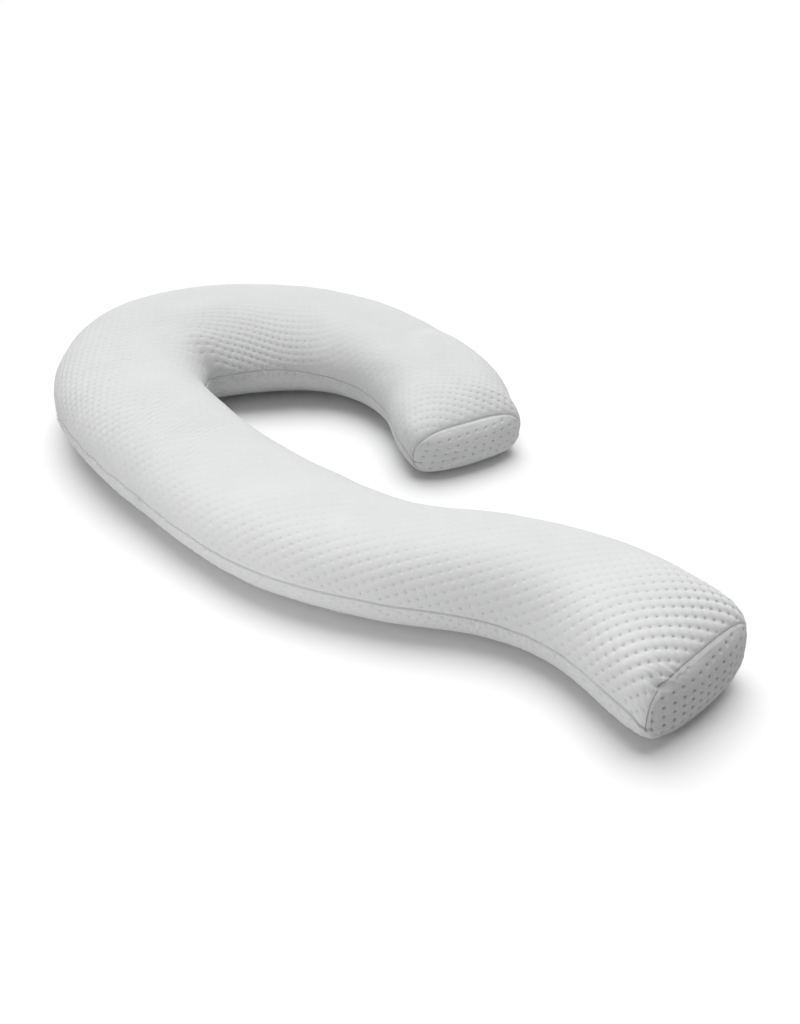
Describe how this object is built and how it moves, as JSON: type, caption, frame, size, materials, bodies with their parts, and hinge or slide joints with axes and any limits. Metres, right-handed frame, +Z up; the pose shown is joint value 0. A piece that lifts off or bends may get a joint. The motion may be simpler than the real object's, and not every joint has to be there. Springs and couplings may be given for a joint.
{
  "type": "body pillow",
  "caption": "Long filled body pillow lying in a hook, with a waisted stem, a wide head bend, a short arm, side seams and sewn end panels.",
  "frame": {"origin": "on the surface the pillow lies on, under the middle of its box", "axes": "+Z up out of the surface, +X from the bend towards the foot along the longest side, +Y from the stem towards the arm"},
  "size_m": [1.4994, 0.7936, 0.1823],
  "materials": {
    "body_cloth": "matte dimpled knit",
    "foot_panel_cloth": "matte dimpled knit",
    "arm_panel_cloth": "matte dimpled knit"
  },
  "bodies": {
    "root": {"pillow_body": "body_cloth", "foot_end_panel": "foot_panel_cloth", "arm_end_panel": "arm_panel_cloth"}
  },
  "joints": []
}
